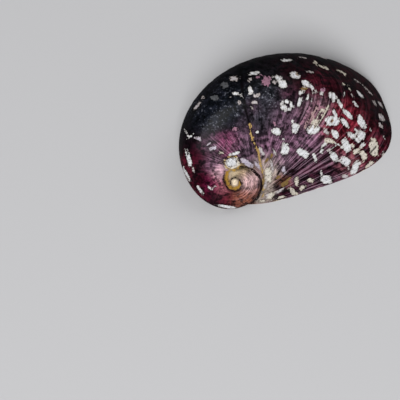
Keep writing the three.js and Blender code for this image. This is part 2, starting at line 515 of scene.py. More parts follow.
def make_base(coil, facets):
    """The smooth callus that fills the hollow between the lip's inner end and the side of the whorl."""
    points = []
    places = []
    for turn in even_turns(0, BASE_TURN, BASE_STEPS):
        inset = BASE_INSET / coil.size_at(turn)
        for i in range(facets.sides):
            angle = FULL_TURN * i / facets.sides
            if BASE_ANGLES[0] < math.degrees(angle) < BASE_ANGLES[1]:
                point = coil.lip_point(angle, inset, kept_off_axis=False)
                points.append(coil.carried_back(point, turn))
                places.append((i / facets.sides, turn))
    base = draw_outline("base", points)
    bpy.ops.mesh.convex_hull()
    bpy.ops.object.mode_set(mode="OBJECT")
    tree = KDTree(len(points))
    for i, point in enumerate(points):
        tree.insert(point, i)
    tree.balance()
    nearest = np.array([places[tree.find(vertex.co)[1]] for vertex in base.data.vertices])
    map_growth(base, nearest[:, 0], nearest[:, 1])
    slice_up(base, BASE_SLICE)
    return base


def lay_down(piece, coil):
    """Turns a piece from the coil's frame to its resting place, with the lip's plane at z = 0."""
    turn_back = coil.upright.transposed().to_4x4()
    piece.data.transform(Matrix.Translation(coil.apex) @ turn_back)


def make_cavity(coil, wall, facets):
    """The space inside: the growth lines drawn in by the wall, and by the lip's edge at the rim."""
    inset = wall.wall / MM
    turns = even_turns(*CAVITY_TURNS, facets.cavity_steps)
    sides = facets.cavity_sides
    cavity = sweep_outline("cavity", coil, coil.outline(sides, inset), turns)
    points = points_of(cavity)
    for ring, turn in enumerate(turns):
        if turn >= BEVEL_TURN:
            break
        share = smooth_step(turn, 0, BEVEL_TURN)
        rim_inset = wall.lip_edge / MM * (1 - share) + inset * share
        line = [coil.carried_back(point, turn) for point in coil.outline(sides, rim_inset)]
        points[ring * sides:(ring + 1) * sides] = line
    place_points(cavity, points)
    map_whole(cavity, INSIDE_TURN)
    lay_down(cavity, coil)
    return cavity


def make_deck(coil, wall):
    """The shelf that closes the inner half of the aperture, with a hollow, rounded free edge."""
    settings = coil.settings
    reach = (settings.lip_front + settings.lip_back) / MM
    edge = wall.deck_edge_x / MM - DECK_START_X
    front = settings.lip_front / MM
    back = settings.lip_back / MM
    outline = [(-reach, -reach), (edge - DECK_SLANT * reach, -reach)]
    for i in range(DECK_EDGE_STEPS + 1):
        share = i / DECK_EDGE_STEPS
        y = -back + (front + back) * share
        bow = 4 * share * (1 - share) * wall.deck_bow / MM
        outline.append((edge + DECK_SLANT * y - bow, y))
    outline += [(edge + DECK_SLANT * reach, reach), (-reach, reach)]
    deck = draw_outline("deck", [(x, y, 0) for x, y in outline], "NGON")
    bpy.ops.mesh.extrude_region_move(
        TRANSFORM_OT_translate={"value": (0, 0, wall.deck_thickness / MM)})
    turn_faces_out()
    apply_modifier(
        deck, "BEVEL", width=wall.deck_rounding / MM, segments=DECK_ROUNDING_STEPS,
        limit_method="ANGLE", angle_limit=math.radians(ROUNDED_FROM))
    tilt = Matrix.Rotation(-wall.deck_tilt, 4, "Y")
    map_whole(deck, DECK_TURN)
    deck.data.transform(Matrix.Translation((DECK_START_X, settings.lip_centre_y / MM, 0)) @ tilt)
    return deck


def make_floor_block():
    """All that lies under the plane that the shell rests on."""
    deselect_all()
    bpy.ops.mesh.primitive_cube_add(size=FLOOR_BLOCK, location=(0, 0, -FLOOR_BLOCK / 2))
    bpy.ops.object.transform_apply(location=True, rotation=False, scale=False)
    map_whole(bpy.context.object, SOLE_TURN)
    return bpy.context.object


def drop_scraps(piece):
    """Keeps the largest of the closed surfaces."""
    edit_all(piece)
    bpy.ops.mesh.separate(type="LOOSE")
    bpy.ops.object.mode_set(mode="OBJECT")
    parts = sorted(bpy.context.selected_objects, key=lambda part: len(part.data.vertices))
    kept = parts.pop()
    remove_pieces(parts)
    return kept


def fit_to_node(piece, coil):
    """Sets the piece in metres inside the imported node's box, on the same floor and centre, and
    returns where the apex comes to lie."""
    low, high = (np.array(corner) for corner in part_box(NODE))
    points = points_of(piece) * MM
    own_low, own_high = points.min(0), points.max(0)
    scale = min((high - low) / (own_high - own_low))
    scale *= FIT
    foot = np.array([*(own_low + own_high)[:2] / 2, own_low[2]])
    node_foot = np.array([*(low + high)[:2] / 2, low[2]])
    place_points(piece, (points - foot) * scale + node_foot)
    return (np.array(coil.apex) * MM - foot) * scale + node_foot


def fault_count(piece):
    """Edges that don't join exactly two faces."""
    form = bmesh.new()
    form.from_mesh(piece.data)
    count = sum(len(edge.link_faces) != 2 for edge in form.edges)
    form.free()
    return count


class NERITE_OT_shell(bpy.types.Operator):
    """Model the shell, hollow and open below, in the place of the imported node"""

    bl_idname = "nerite.shell"
    bl_label = "Build Shell"

    def execute(self, context):
        settings = context.scene.nerite_coil
        facets = context.scene.nerite_facets
        wall = context.scene.nerite_wall
        coil = Coil(settings)
        lengths = make_whorls(coil, facets)
        outside = lengths[0]
        join_solids(outside, lengths[1:] + [make_embryo(settings), make_base(coil, facets)])
        lay_down(outside, coil)
        cavity = make_cavity(coil, wall, facets)
        join_solids(cavity, [make_deck(coil, wall)], operation="DIFFERENCE")
        join_solids(outside, [cavity, make_floor_block()], operation="DIFFERENCE")
        shell = drop_scraps(outside)
        faults = fault_count(shell)
        if faults:
            raise RuntimeError(f"the shell isn't closed: {faults} edges don't join two faces")
        context.scene.nerite_apex = fit_to_node(shell, coil)
        shell.name = "shell_fine"
        shell.data.name = "shell_fine"
        select_only(shell)
        bpy.ops.object.shade_smooth_by_angle(angle=math.radians(SHARP_FROM))
        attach(shell, "root")
        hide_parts(NODE)
        return {"FINISHED"}


# Pixels: the width and height of the photograph, and where its apex shows.
PICTURE_SIZE = 400
APEX_PIXEL = (234.5, 182.5)


class View:
    """Where the photograph was taken from: a direction, a scale and the pixel of the apex."""

    def __init__(self, stage, apex):
        turns = ((stage.turn_z, "Z"), (stage.turn_y, "Y"), (stage.turn_x, "X"))
        whole = Matrix.Identity(3)
        for angle, name in turns:
            whole = whole @ Matrix.Rotation(angle, 3, name)
        self.right, self.up, self.towards = whole
        self.pixel = stage.pixel
        self.apex = apex

    def pixels(self, points):
        """Columns and rows in the photograph of an array of points in metres."""
        apart = (points - np.array(self.apex)) / self.pixel
        return APEX_PIXEL[0] + apart @ np.array(self.right), APEX_PIXEL[1] - apart @ np.array(self.up)

    def place(self, column, row):
        """The point in the plane of the apex that shows at a pixel."""
        aside = self.right * (column - APEX_PIXEL[0]) - self.up * (row - APEX_PIXEL[1])
        return self.apex + aside * self.pixel


# Grounds: the colour under the markings, by place. Each has its middle in the photograph's
# pixels, how far it spreads, its colour, how strongly the growth lines show, and its roughness.
GROUNDS = {
    "slate shoulder": (212, 110, 18, "slate", 0.15, 0.48),
    "slate shoulder, low": (227, 121, 8, "slate", 0.3, 0.46),
    "slate crown": (238, 100, 14, "slate", 0.2, 0.5),
    "slate centre": (268, 96, 12, "warm_slate", 0.25, 0.5),
    "slate centre, low": (262, 118, 9, "warm_slate", 0.4, 0.45),
    "slate gap": (307, 104, 6, "slate", 0.7, 0.45),
    # Painted shade: these near-black grounds darken the left and top rims, where the light falls away.
    "left rim": (187, 128, 10, "soot", 0.2, 0.4),
    "left corner": (186, 143, 6, "soot", 0.3, 0.4),
    "top left rim": (205, 88, 11, "soot", 0.2, 0.4),
    "top": (252, 66, 14, "soot", 0.2, 0.4),
    "shoulder": (242, 80, 8, "soot", 0.3, 0.4),
    "top right": (298, 64, 12, "soot", 0.4, 0.4),
    "under the top right": (292, 71, 8, "burgundy", 0.4, 0.4),
    "over the ring blotch": (287, 93, 5, "plum", 0.4, 0.4),
    "upper right": (334, 80, 12, "burgundy", 0.5, 0.4),
    "upper flank": (317, 82, 9, "wine", 0.5, 0.4),
    # Painted shade along the upper rim.
    "upper rim": (325, 62, 8, "soot", 0.4, 0.4),
    "right rim": (384, 112, 10, "burgundy", 0.4, 0.4),
    "upper right rim": (362, 85, 10, "burgundy", 0.4, 0.4),
    "right": (366, 106, 9, "burgundy", 0.5, 0.4),
    "among the rows": (348, 117, 9, "crimson", 0.7, 0.4),
    "among the rows, low": (352, 134, 9, "crimson", 0.7, 0.4),
    "among the rows, left": (334, 127, 7, "crimson", 0.7, 0.4),
    "by the lip": (368, 146, 8, "wine", 0.6, 0.4),
    "middle": (283, 120, 10, "dusky_mauve", 0.6, 0.4),
    "flank": (298, 140, 13, "mauve", 0.7, 0.4),
    "striped flank": (316, 112, 8, "orchid", 1.2, 0.4),
    "under the middle": (272, 148, 9, "mauve", 0.6, 0.4),
    "flank, low": (284, 162, 7, "dusky_mauve", 0.9, 0.4),
    "stripes": (307, 166, 12, "bramble", 1.25, 0.4),
    "stripes, low": (334, 172, 9, "plum", 1.1, 0.4),
    "foot, right": (347, 165, 6, "rosewood", 0.7, 0.4),
    "foot, middle": (304, 188, 7, "plum", 1.0, 0.4),
    "left of the growth mark": (244, 129, 6, "dusky_mauve", 0.6, 0.4),
    "by the growth check": (252, 108, 5, "dusky_mauve", 0.8, 0.4),
    "behind the crescent": (244, 147, 7, "dusky_mauve", 0.6, 0.4),
    "left": (227, 142, 7, "magenta", 0.9, 0.35),
    "left shoulder": (211, 146, 6, "dusky_mauve", 0.9, 0.35),
    "left hollow": (199, 156, 9, "deep_magenta", 0.35, 0.35),
    # The spire shoulder and the ground round the spire are lighter partly by a painted sheen, over the
    # shell's own pink-lilac.
    "spire shoulder": (212, 164, 5, "mauve", 0.9, 0.3),
    "left of the spire": (213, 184, 5, "fuchsia", 0.4, 0.3),
    "lower left": (203, 180, 9, "deep_magenta", 0.35, 0.3),
    "lower left, foot": (212, 192, 7, "deep_magenta", 0.35, 0.3),
    "round the spire": (220, 174, 4.5, "pink", 0.8, 0.3),
    "under the spire": (221, 186, 5, "rosewood", 0.6, 0.3),
    "foot": (240, 203, 6, "umber", 0.5, 0.35),
    "foot, left": (226, 201, 6, "wine", 0.35, 0.35),
    "margin": (189, 166, 7, "wine", 0.5, 0.4),
    "margin, low": (196, 192, 7, "wine", 0.5, 0.4),
    "rubble": (270, 168, 7, "rubble", 1.1, 0.6),
    "rubble foot": (265, 190, 5.5, "rubble", 1.1, 0.6),
    "foot of the rubble": (281, 194, 6, "bramble", 0.9, 0.4),
    "ochre rubble": (283, 181, 4, "brown", 1.2, 0.65),
}

# Grounds of the small early whorls, those of the last whorl that count there too, and the turns
# over which one set gives way to the other.
SPIRE_GROUNDS = {
    # The lighter middle of the spire is partly a painted highlight, and its umber right side painted
    # shade.
    "spire middle": (249, 181, 6, "tan", 0.7, 0.4),
    "spire top": (242, 171, 5, "olive", 0.7, 0.4),
    "spire top left": (232, 173, 4, "beige", 0.4, 0.45),
    "spire right": (258, 190, 5, "umber", 0.7, 0.4),
    "spire, low": (243, 199, 6, "brown", 0.8, 0.4),
    "spire left": (226.5, 182, 2.2, "ochre", 0.2, 0.5),
    "bud": (234.5, 182.5, 2.2, "bud", 0.1, 0.4),
}
SHARED_GROUNDS = (
    "foot", "foot, left", "lower left, foot", "round the spire", "under the spire", "lower left",
    "left of the spire")
SPIRE_TURNS = (0.62, 0.8)

# Blotches: their tint, then for each the middle column and row, half length, half width, and
# direction in degrees from the right towards the top.
BLOTCHES = (
    ("streaks along the upper rim", "white", (
        (286, 60, 6, 1.4, 0), (360.5, 94, 5.6, 1.6, -48), (356, 104, 4.6, 1.5, -50))),
    ("faint streaks at the rim", "dove", (
        (310, 71.7, 4, 1.3, -10), (365, 86, 5, 0.9, -38), (375.5, 103, 3.2, 1, -60),
        (382, 104.5, 5, 1, -48), (371, 92, 4, 0.7, -42), (357, 80, 3.5, 0.7, -38),
        (324, 57, 4, 0.8, -12), (303, 57, 3, 0.8, -5), (353, 96, 3, 0.8, -50))),
    ("upper row", "white", (
        (295, 75.5, 5.6, 3.5, -15), (305.5, 83.5, 5.2, 3.2, -8), (311.5, 86.8, 2.6, 1.8, -45),
        (301.5, 92.5, 2.7, 1.8, 0), (307, 97.5, 2.9, 2.1, 80), (311.5, 99.5, 1.9, 1, 80),
        (321, 93.5, 2, 1.6, 0), (282.5, 84.3, 4.5, 4, 0), (278, 78.5, 4.2, 3, -20),
        (253.5, 73.5, 6, 1.9, 8), (250, 90, 4.2, 2.2, 100), (236.5, 93.8, 4.4, 1.4, -4),
        (241.5, 96.5, 2.6, 1.2, -50))),
    ("faint upper row", "dove", (
        (275, 82, 3.4, 2.6, 0), (272.5, 76.5, 2.2, 1.6, 40), (234, 78.5, 4, 2.7, 10),
        (257, 95.5, 3.8, 1.5, 25), (255, 102.5, 2.8, 1.6, 0), (251, 107, 2.6, 1.3, 110),
        (239.5, 102.5, 1.8, 1.4, 90), (230, 97.5, 1.4, 0.9, 0), (250, 79, 2.8, 1.8, 60),
        (314.5, 92, 2.8, 1.7, 10), (203, 97, 2, 1.5, 40))),
    ("rose patches", "rose", (
        (266.5, 81, 5.4, 4.4, 70), (235, 129, 3.2, 1.7, 0), (275, 124, 2.6, 1.1, -45),
        (323, 90, 3.4, 1.8, 30), (258, 77, 3, 1.4, 20))),
    ("dim patches", "dusk", ((224.5, 85, 3.6, 3.2, 0), (215, 97.5, 4, 2.8, 0))),
    ("ring blotch", "white", (
        (283.5, 107.3, 3.4, 3, 60), (287.5, 101.7, 4, 2.2, -10), (291.8, 105, 3.8, 2.4, 100),
        (288.5, 109.4, 3.8, 2, 10), (282.5, 103, 2.4, 1.8, 50), (299.5, 102, 5.2, 2.5, 72))),
    ("middle row", "white", (
        (277, 131.5, 4.9, 3.7, -20), (285, 149, 6.7, 3.9, 84), (295.5, 128, 5.6, 4, 80),
        (303, 153, 7.4, 3.8, -35), (313, 129.5, 7.2, 4.4, 10), (283.5, 139, 1.2, 1, 0),
        (257.5, 132, 1.3, 1, 0), (293, 121.5, 2, 0.9, 70), (322, 150, 3.2, 1.8, 80),
        (315, 158, 4.4, 1.8, 110), (324.5, 144.5, 2.2, 1.4, 20))),
    ("double blotch", "white", (
        (333, 96.5, 5.4, 3.8, -58), (339.5, 102.5, 4.8, 2.2, -68), (331, 91.5, 2, 1.2, 0),
        (344.5, 94, 2.4, 1, 80))),
    ("right rows", "white", (
        (332.5, 121, 7.2, 5.4, 0), (335, 113, 4.8, 1.9, -68), (348.5, 114.2, 8.6, 2.4, -40),
        (344.8, 122.4, 7, 2.6, -52), (362, 122, 8.2, 3.3, -58), (351.5, 135, 5, 2.7, -25),
        (358, 140, 5.9, 2.4, -25), (362, 135, 5.2, 4, -50), (357, 131, 3.4, 1.6, -60),
        (363, 144, 2.6, 2.6, 0), (335.5, 134, 5.4, 3.2, -60), (338, 144.5, 5.4, 1.4, -20),
        (334, 147.5, 4.2, 1.2, 25), (342.5, 147.5, 2, 1.4, -40), (346.5, 145, 8.2, 3.9, -65),
        (334.5, 156.5, 7.4, 3.2, -55), (346, 161.5, 5.6, 4.7, -30), (355.8, 167.5, 8, 3.5, 68),
        (326.5, 179.5, 6.6, 4.5, -20), (321.5, 173.5, 3.2, 1.5, 100), (371, 129, 3.4, 1.3, 85))),
    ("pale patches by the lip", "cream", (
        (330.5, 140.8, 5.2, 2.6, -20), (354, 146, 3.2, 1.6, -50), (357, 151, 3.5, 3.1, 0),
        (364, 155.5, 5.8, 3.1, -75), (374.5, 147.5, 9, 4.5, -82), (370.5, 165.5, 5.8, 3.2, 50),
        (297, 181.5, 4.5, 2.4, 100), (310.5, 180, 3.7, 2.2, -20), (293.5, 192, 5.8, 2.8, -42),
        (303, 187.5, 3.4, 2.2, 30))),
    ("dim patches at the right", "dove", (
        (327, 131.8, 3.9, 2.2, -50), (330, 150.8, 2.8, 1.8, -30), (349, 168, 2.7, 1.5, -60),
        (346, 177, 3.8, 2.2, -20), (382.5, 117, 4.6, 2.1, -60), (381.5, 125, 3.2, 1.3, -60),
        (386, 138, 3, 1.2, -60), (384, 153.5, 3, 1.5, 50), (379, 160, 2.6, 1.4, 40))),
    ("left margin", "white", (
        (188.5, 158, 9.2, 2.4, -76), (200, 189.8, 6, 1.6, -50), (234.5, 153.7, 5.8, 1.6, 18),
        (187, 133.5, 4.4, 1, -60), (190.5, 136.5, 3, 0.8, 40), (186.5, 174, 8.4, 1.5, -64),
        (225.5, 206.6, 10.5, 1.5, -7))),
    ("left margin, dim", "dove", ((196.5, 107, 6, 1.4, 52), (193.5, 170, 4.2, 1.1, -70))),
    ("lilac flecks", "lilac", (
        (198, 138.5, 3, 2, -30), (212.5, 148.5, 3.4, 2, 10), (209, 144, 2.4, 1, 40),
        (284, 170, 4.5, 2.2, 110), (247, 163, 7.4, 2.9, -32), (257, 165, 5, 1.6, -58))),
    ("worn cream", "cream", (
        (231.5, 163, 8.2, 6.6, 10), (221, 152.8, 3, 1.7, 10), (268.5, 175, 8, 3.6, 92),
        (271, 195.5, 4, 3, 60), (262, 201, 3.4, 1.8, 10), (281, 197.5, 5, 1.3, 18))),
    ("white of the worn disc", "white", ((231.5, 162.5, 5.6, 4.8, 10),)),
    ("grey streaks of the rubble", "dove", (
        (262, 152, 5, 1.5, 116), (272, 166, 6, 1.6, 98), (266, 184, 5, 1.6, 86),
        (274.5, 152, 5, 1.2, 118), (281, 190, 5, 1.2, 30), (267, 196, 4, 1.4, 70))),
    ("dark pits of the rubble", "dark", (
        (292, 171, 3.2, 1.7, 15), (277, 187, 3.2, 1.2, 35), (286, 190.5, 4, 1.3, 15),
        (266, 147, 2.8, 1, 120), (263, 157, 2.4, 0.9, 60), (279, 172, 2.6, 0.9, 60))),
    ("rust flecks", "khaki", (
        (284.5, 184, 4, 2.4, 30), (267, 160, 3.6, 1.2, 60), (271, 157, 3, 1.1, 70),
        (277, 178, 3, 1.2, 30), (288, 179, 3, 1.1, 35), (272, 203, 5, 1, 18),
        (304, 88.7, 3.4, 1.9, 20), (297, 74, 1.6, 1.6, 0), (332.5, 120.5, 1.8, 1.3, 30))),
)

# Threads: tint, half width, then the pixels that they pass through.
THREADS = {
    "growth mark": ("straw", 0.9, (
        (249.5, 124), (250.5, 132), (252.5, 140), (256, 146), (258, 152), (260, 160),
        (261.8, 168), (263.3, 176), (263.8, 186), (263, 197))),
    "growth check": ("soot", 0.9, (
        (239, 62), (241, 75), (242, 88), (243.5, 100), (246, 112), (249, 122))),
    "streak on the upper rim": ("cream", 1.1, ((315, 62.5), (320, 65.5), (326, 66.5), (328.5, 69))),
    "streak, upper right rim": ("cream", 0.8, ((337, 70), (342, 71), (347, 74.5))),
    "streak, right": ("cream", 0.9, ((344, 84), (347.5, 85.5), (351, 89.5))),
    "comb, first": ("cream", 1.6, ((328.5, 106.5), (321.5, 118.5), (315, 127))),
    "comb, second": ("cream", 1.3, ((322, 110), (316, 119), (310, 127.5))),
    "comb, third": ("tan", 1.4, ((317, 107), (311, 117), (305, 127))),
    "comb, fourth": ("rose", 1.1, ((311, 106), (306, 115), (301, 124))),
    "rim of the worn disc": ("straw", 0.8, (
        (240, 166), (236, 168.5), (231, 169.8), (226.5, 167.5), (223.8, 163), (226, 158.5),
        (231, 156.2), (236, 156.8))),
    "ochre groove": ("ochre", 1.8, (
        (227, 173), (226.2, 178), (227.2, 183), (230, 187), (234, 188.7), (238, 187.6))),
    "ochre groove, end": ("ochre", 1.2, ((238, 187.6), (240, 184.6), (239.8, 182))),
    "ochre rim of the spire": ("ochre", 0.8, ((227, 173), (230, 170.8), (235, 169.6), (241, 168.3))),
    "dark rim of the groove": ("dark", 0.7, (
        (224.6, 171), (223.8, 178), (225, 184.5), (229, 189.4), (234.5, 191.3), (239.5, 190),
        (242.2, 186))),
    "dark coil": ("dark", 0.8, (
        (231.2, 184.5), (230.3, 181), (232, 178.3), (236, 177.6), (239.8, 180), (241.4, 183.8))),
    "dark suture": ("dark", 1.0, (
        (240, 167), (247, 167.4), (253.5, 170.2), (259, 175.5), (261.8, 183), (261.5, 191),
        (258, 197.5), (252, 203))),
    "dark line in the left streak": ("dark", 0.6, ((186.5, 149), (188, 155))),
    "dark crack by the lip": ("dark", 0.7, ((371, 153), (373.5, 150.5), (376, 148), (377, 146))),
    # A painted highlight: a small white glint in the shape of a tick, left of the spire.
    "highlight tick, left": ("white", 0.45, ((208.5, 187), (211, 190))),
    "highlight tick, right": ("white", 0.45, ((211, 190), (214.8, 186))),
}

# Marks: how far from their edges the field reaches and how much the blotches are drawn in, both
# in pixels, and the power of their outline, 2 for an ellipse.
FIELD_REACH = 4.0
BLOTCH_INSET = 0.1
SQUARENESS = 2.6

# How far a surface has to face the camera to carry a mark of the photograph, and how far away to
# carry a scattered spot.
SEEN_FROM = 0.03
HIDDEN_FROM = -0.09

# The weight of a ground far from its middle.
FAR_WEIGHT = 1e-6

# Spots on the sides that the photograph doesn't show: the seed of their places, then metres.
SPOT_SEED = 11
SPOT_GAP = 0.00075
SPOT_LONG = (0.00024, 0.00048)
SPOT_WIDE = (0.00012, 0.0002)


def blended(places, grounds, colours):
    """Mixes the grounds at places in pixels: colour, growth-line strength and roughness."""
    total = np.zeros(len(places[0]))
    mixed = np.zeros((len(places[0]), 5))
    for column, row, spread, colour, lines, roughness in grounds.values():
        apart = ((places[0] - column) ** 2 + (places[1] - row) ** 2) / spread ** 2
        weight = np.exp(-apart / 2) + FAR_WEIGHT / (1 + apart ** 2)
        total += weight
        values = [*getattr(colours, colour), lines, roughness]
        mixed += weight[:, None] * np.array(values)
    return mixed / total[:, None]


def blotch_field(places, column, row, long, wide, direction):
    """How far inside an oval each place lies, in pixels, below zero outside."""
    turn = math.radians(direction)
    right = places[0] - column
    up = row - places[1]
    along = (right * math.cos(turn) + up * math.sin(turn)) / long
    across = (up * math.cos(turn) - right * math.sin(turn)) / wide
    reach = (np.abs(along) ** SQUARENESS + np.abs(across) ** SQUARENESS) ** (1 / SQUARENESS)
    return (1 - reach) * math.sqrt(long * wide) - BLOTCH_INSET


def thread_field(places, half_width, path):
    """How far inside a thread each place lies, in pixels."""
    nearest = np.full(len(places[0]), np.inf)
    for (x0, y0), (x1, y1) in zip(path, path[1:]):
        length = (x1 - x0) ** 2 + (y1 - y0) ** 2
        share = ((places[0] - x0) * (x1 - x0) + (places[1] - y0) * (y1 - y0)) / length
        share = np.clip(share, 0, 1)
        away = np.hypot(places[0] - x0 - share * (x1 - x0), places[1] - y0 - share * (y1 - y0))
        nearest = np.minimum(nearest, away)
    return half_width - nearest


def spots_out_of_view(points, normals, hidden, view, axis):
    """Ovals along the whorl, scattered over the points that the photograph doesn't show."""
    draw = np.random.default_rng(SPOT_SEED)
    apex = np.array(view.apex)
    kept = []
    for i in draw.permutation(np.flatnonzero(hidden)):
        if all(np.linalg.norm(points[i] - spot[0]) > SPOT_GAP for spot in kept):
            along = np.cross(axis, points[i] - apex)
            along -= normals[i] * (along @ normals[i])
            along /= np.linalg.norm(along)
            long, wide = draw.uniform(*SPOT_LONG), draw.uniform(*SPOT_WIDE)
            kept.append((points[i], along, long, wide))
    return kept


def spot_field(points, middle, along, long, wide, pixel):
    """How far inside a spot each point lies, in pixels of the photograph."""
    apart = points - middle
    forward = apart @ along
    aside = np.sqrt(np.maximum((apart ** 2).sum(1) - forward ** 2, 0))
    reach = np.hypot(forward / long, aside / wide)
    return (1 - reach) * wide / pixel


class Marks:
    """How far inside the nearest mark each corner lies, in pixels, and the tint of that mark."""

    def __init__(self, count, tint):
        self.field = np.full(count, -FIELD_REACH)
        self.tint = np.tile(tint, (count, 1))

    def add(self, own, share, tint, on_top):
        """Adds a mark to the share of the corners that can carry it."""
        own = own * share - FIELD_REACH * (1 - share)
        wins = own > self.field
        if on_top:
            wins |= own > 0
        self.field[wins] = own[wins]
        self.tint[wins] = tint


def paint(shell, view, colours, axis):
    """Gives the shell's corners the colours and marks that its material reads."""
    mesh = shell.data
    corners = read(mesh.loops, "vertex_index", 1, int)[:, 0]
    points = points_of(shell)
    normals = read(mesh.vertices, "normal", 3)
    facing = normals @ np.array(view.towards)
    around, turn = read(mesh.uv_layers["growth"].data, "uv", 2).T
    places = [part[corners] for part in view.pixels(points)]
    seen = np.clip((facing[corners] - SEEN_FROM) / SEEN_FROM, 0, 1)

    ground = blended(places, GROUNDS, colours)
    spire_grounds = SPIRE_GROUNDS | {name: GROUNDS[name] for name in SHARED_GROUNDS}
    early = blended(places, spire_grounds, colours)
    share = np.clip((turn - SPIRE_TURNS[0]) / (SPIRE_TURNS[1] - SPIRE_TURNS[0]), 0, 1)[:, None]
    ground = ground * (1 - share) + early * share

    marks = Marks(len(corners), colours.white)
    for _, colour, blotches in BLOTCHES:
        for blotch in blotches:
            marks.add(blotch_field(places, *blotch), seen, getattr(colours, colour), on_top=True)
    for colour, half_width, path in THREADS.values():
        own = thread_field(places, half_width, path)
        marks.add(own, seen, getattr(colours, colour), on_top=True)
    outer = np.zeros(len(points), bool)
    outer[corners[turn > INSIDE_TURN / 2]] = True
    hidden = outer & (facing < HIDDEN_FROM)
    for spot in spots_out_of_view(points, normals, hidden, view, axis):
        own = spot_field(points, *spot, view.pixel)[corners]
        marks.add(own, 1 - seen, colours.cream, on_top=False)

    coil = np.stack([np.cos(FULL_TURN * around), np.sin(FULL_TURN * around), turn], 1)
    write_attribute(mesh, "coil", "FLOAT_VECTOR", coil)
    write_attribute(mesh, "ground", "FLOAT_COLOR", ground[:, :4])
    depth = np.clip(0.5 + marks.field / (2 * FIELD_REACH), 0, 1)[:, None]
    write_attribute(mesh, "mark", "FLOAT_COLOR", np.concatenate([marks.tint, depth], 1))
    write_attribute(mesh, "matte", "FLOAT", ground[:, 4])


def write_attribute(mesh, name, kind, values):
    layer = mesh.attributes.new(name, kind, "CORNER")
    key = {"FLOAT": "value", "FLOAT_VECTOR": "vector", "FLOAT_COLOR": "color"}[kind]
    layer.data.foreach_set(key, np.ascontiguousarray(values, dtype=np.float32).ravel())


class Value:
    """A socket of a node tree, or a number, that takes part in sums."""

    def __init__(self, tree, socket):
        self.tree = tree
        self.socket = socket

    def math(self, operation, *others):
        return self.tree.node("ShaderNodeMath", {"operation": operation}, (self, *others))[0]

    def __add__(self, other):
        return self.math("ADD", other)

    def __sub__(self, other):
        return self.math("SUBTRACT", other)

    def __rsub__(self, other):
        return Value(self.tree, other).math("SUBTRACT", self)

    def __mul__(self, other):
        return self.math("MULTIPLY", other)

    __radd__ = __add__
    __rmul__ = __mul__

    def rise(self, low, high):
        """Rises smoothly from 0 at low to 1 at high."""
        settings = {"interpolation_type": "SMOOTHSTEP"}
        inputs = {"Value": self, "From Min": low, "From Max": high}
        return self.tree.node("ShaderNodeMapRange", settings, inputs)[0]

    def fall(self, low, high):
        """Falls smoothly from 1 at low to 0 at high."""
        return 1 - self.rise(low, high)

    def swing(self, strength):
        """A noise, 0 to 1, moved to swing about 0 as strongly as that."""
        return (self - 0.5) * strength


class Tree:
    """A material's nodes."""

    def __init__(self, name):
        self.material = bpy.data.materials.new(name)
        self.material.use_nodes = True
        self.nodes = self.material.node_tree.nodes
        self.links = self.material.node_tree.links
        self.shader = self.nodes["Principled BSDF"]

    def put(self, socket, value):
        if isinstance(value, Value):
            value = value.socket
        if isinstance(value, bpy.types.NodeSocket):
            self.links.new(value, socket)
        elif socket.type == "RGBA":
            socket.default_value = (*value, 1)
        else:
            socket.default_value = value

    def node(self, kind, settings=None, inputs=()):
        """Adds a node with its settings and its inputs, by name or in order, and gives its outputs."""
        node = self.nodes.new(kind)
        for name, value in (settings or {}).items():
            setattr(node, name, value)
        pairs = inputs.items() if isinstance(inputs, dict) else enumerate(inputs)
        for key, value in pairs:
            self.put(node.inputs[key], value)
        return [Value(self, output) for output in node.outputs]

    def attribute(self, name):
        """The colour, vector, factor and alpha of an attribute."""
        return self.node("ShaderNodeAttribute", {"attribute_name": name})

    def split(self, vector):
        return self.node("ShaderNodeSeparateXYZ", {}, (vector,))

    def green(self, colour):
        """The green of a colour, which stands for how light it is."""
        return self.node("ShaderNodeSeparateColor", {}, (colour,))[1]

    def noise(self, vector, scale, detail, roughness):
        inputs = {"Vector": vector, "Scale": scale, "Detail": detail, "Roughness": roughness}
        return self.node("ShaderNodeTexNoise", {}, inputs)[0]

    def mix(self, share, first, second):
        """Mixes two colours."""
        inputs = {0: share, 6: first, 7: second}
        return self.node("ShaderNodeMix", {"data_type": "RGBA"}, inputs)[2]

    def scaled(self, colour, factor):
        return self.node("ShaderNodeVectorMath", {"operation": "SCALE"}, {0: colour, 3: factor})[0]

    def finish(self, inputs):
        for name, value in inputs.items():
            self.put(self.shader.inputs[name], value)
        return self.material


# Noises over the surface: scale, detail and roughness.
PATCHES = (1500.0, 2.0, 0.5)
MOTTLE = (3600.0, 3.0, 0.65)
GRIT = (10000.0, 2.0, 0.75)

# Noises over the growth lines: how fast they change round a line and with growth, then their
# detail and roughness.
FINE_LINES = (1.2, 300.0, 3.0, 0.7)
BROAD_LINES = (0.7, 45.0, 2.0, 0.5)
SPIRE_LINES = (16.0, 5.0, 2.0, 0.6)

# How fast the lines of the last whorls crowd together with each turn back.
CROWDING = -1.3


class Skin:
    """The noises that the colours and the relief share."""

    def __init__(self, tree, place, coil):
        self.tree = tree
        self.across, self.up, self.turn = tree.split(coil)
        growth = (self.turn * CROWDING).math("EXPONENT")
        whorl = self.lines(growth, *FINE_LINES)
        spire = self.lines(self.turn, *SPIRE_LINES)
        self.fine = whorl + (spire - whorl) * self.turn.rise(*SPIRE_TURNS)
        self.broad = self.lines(growth, *BROAD_LINES)
        self.mottle = tree.noise(place, *MOTTLE)
        self.grit = tree.noise(place, *GRIT)
        self.patches = tree.noise(place, *PATCHES)

    def lines(self, along, round_line, with_growth, detail, roughness):
        """A noise over the growth lines."""
        place = (self.across * round_line, self.up * round_line, along * with_growth)
        vector = self.tree.node("ShaderNodeCombineXYZ", {}, place)[0]
        return self.tree.noise(vector, 1.0, detail, roughness)


